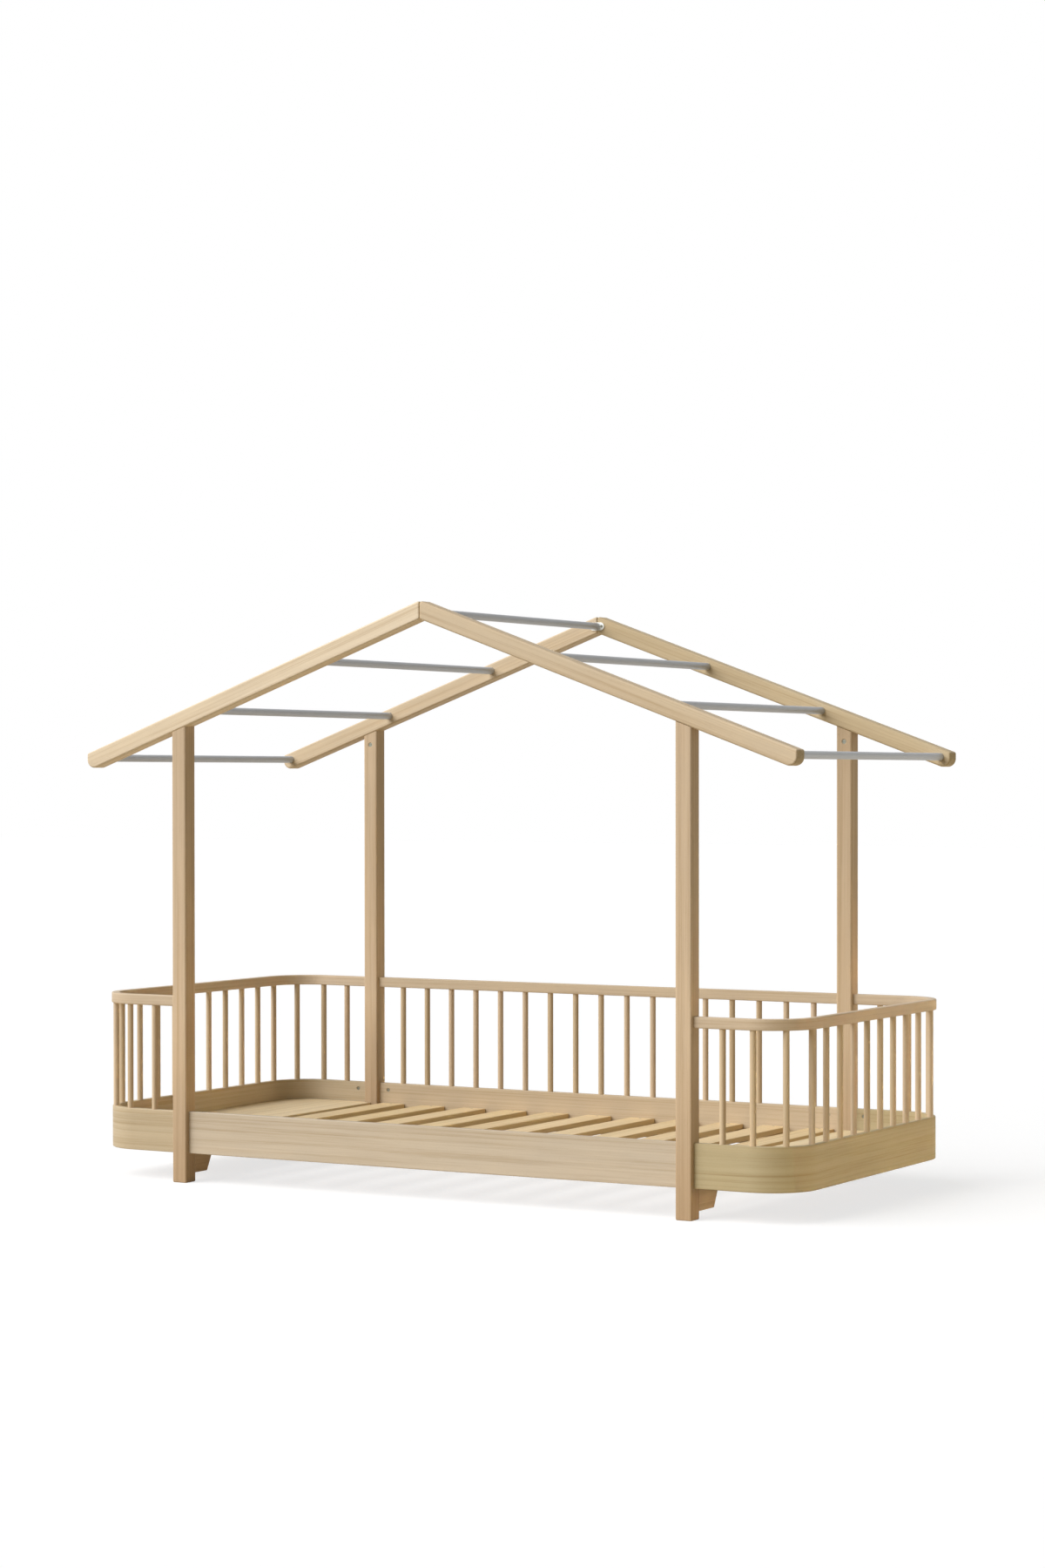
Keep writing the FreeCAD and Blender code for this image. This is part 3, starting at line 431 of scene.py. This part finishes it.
dress(metal("metal_tubes", TUBE, Y, rough=0.45, metallic=0.25), "ridge_tube",
      *(f"{row}_tube_{side}" for row in ("upper", "lower", "eave") for side in ("left", "right")))
dress(metal("metal_plates", PLATE, X, rough=0.45, metallic=0.3), "ridge_plates")
dress(metal("metal_fixings", FIXING, X, rough=0.42, metallic=0.8),
      "rail_studs", "rail_barrel_nuts", "guard_studs", "guard_barrel_nuts", "rafter_bolts",
      "post_barrel_nuts", "ridge_bolts", "ridge_tube_plugs", "ridge_plate_screws", "slat_screws",
      "ledge_screws", "panel_screws")


# ---------------------------------------------------------------- floor, backdrop and light
FLOOR_HALF = 40.0
FLOOR_SHADED = (0.345, 0.341, 0.339, 1.0)   # the part of the floor's white that a shadow takes away
FLOOR_GLOW = (0.703, 0.712, 0.725, 1.0)     # and the part that stays
BOUNCE_NEAR = (0.70, 0.59, 0.39)            # its colour for the light that it throws on the bed
BOUNCE_FAR = (0.10, 0.09, 0.08)             # and further away, where a studio is dark
NEAR_RADIUS, FAR_RADIUS = 2.0, 3.2

WHITE = (1.0, 1.0, 1.0, 1.0)                # the backdrop, where it shows
SKY_COLOUR = (1.0, 0.89, 0.66, 1.0)         # and the even light that it gives
SKY_STRENGTH = 0.14

KEY_TURN, KEY_HEIGHT, KEY_SPREAD = 231.0, 38.0, 60.0    # degrees
KEY_STRENGTH = 1.19         # what a white card square to it sends back, where 1 shows as white
CARD_WIDTH, CARD_HEIGHT = 1.6, 0.6


def studio_floor():
    """A white floor that keeps the bed's soft shadow."""
    mesh = bpy.data.meshes.new("floor")
    signs = ((-1, -1), (1, -1), (1, 1), (-1, 1))
    mesh.from_pydata([(x * FLOOR_HALF, y * FLOOR_HALF, 0.0) for x, y in signs], [], [(0, 1, 2, 3)])
    floor = put_in_scene("floor", mesh)
    g = Graph(bpy.data.materials.new("floor_paper"))
    white = g.add("ShaderNodeAddShader")
    g.feed(white, 0, g.add("ShaderNodeBsdfDiffuse", Color=FLOOR_SHADED).outputs[0])
    g.feed(white, 1, g.add("ShaderNodeEmission", Color=FLOOR_GLOW, Strength=1.0).outputs[0])
    x, y, _ = g.place()
    away = g.levels(g.length(x, y), NEAR_RADIUS, FAR_RADIUS)
    bounce = g.add("ShaderNodeBsdfDiffuse", Color=g.tint(BOUNCE_NEAR, BOUNCE_FAR, away, "MIX"))
    mesh.materials.append(g.surface(g.shown_or_not(bounce, white)))


def studio_world():
    """An even sky: plain light on the bed, white where it shows."""
    world = bpy.data.worlds.new("studio")
    bpy.context.scene.world = world
    g = Graph(world)
    light = g.add("ShaderNodeBackground", Color=SKY_COLOUR, Strength=SKY_STRENGTH)
    backdrop = g.add("ShaderNodeBackground", Color=WHITE, Strength=1.0)
    g.surface(g.shown_or_not(light, backdrop), "ShaderNodeOutputWorld")


def wide_light(name, turn, height, spread, strength):
    """Light from far away: its turn from +X about +Z, its height and its spread, in degrees."""
    data = bpy.data.lights.new(name, "SUN")
    data.angle = math.radians(spread)
    data.energy = strength * math.pi
    turn, height = math.radians(turn), math.radians(height)
    source = Vector((math.cos(height) * math.cos(turn), math.cos(height) * math.sin(turn),
                     math.sin(height)))
    lamp = put_in_scene(name, data)
    lamp.rotation_euler = source.to_track_quat("Z", "Y").to_euler()


def card_light(name, at, towards, spread, watts, colour):
    """A low card past the right end that throws light back on the bed's shaded sides."""
    data = bpy.data.lights.new(name, "AREA")
    data.shape = "RECTANGLE"
    data.size = CARD_WIDTH
    data.size_y = CARD_HEIGHT
    data.spread = math.radians(spread)
    data.energy = watts
    data.color = colour
    lamp = put_in_scene(name, data)
    lamp.location = at
    lamp.rotation_euler = (Vector(at) - Vector(towards)).to_track_quat("Z", "Y").to_euler()
    lamp.visible_camera = False


studio_world()
studio_floor()
wide_light("key_light", KEY_TURN, KEY_HEIGHT, KEY_SPREAD, KEY_STRENGTH)
card_light("side_card", at=(3.0, 0.8, 0.55), towards=(0.8, 0.0, 0.3), spread=180.0, watts=10.5,
           colour=(1.0, 0.90, 0.68))
card_light("far_card", at=(12.0, 1.0, 0.8), towards=(-0.6, 0.0, -0.10), spread=10.0, watts=2.0,
           colour=(1.0, 0.80, 0.45))

bpy.context.scene.view_settings.view_transform = "Standard"
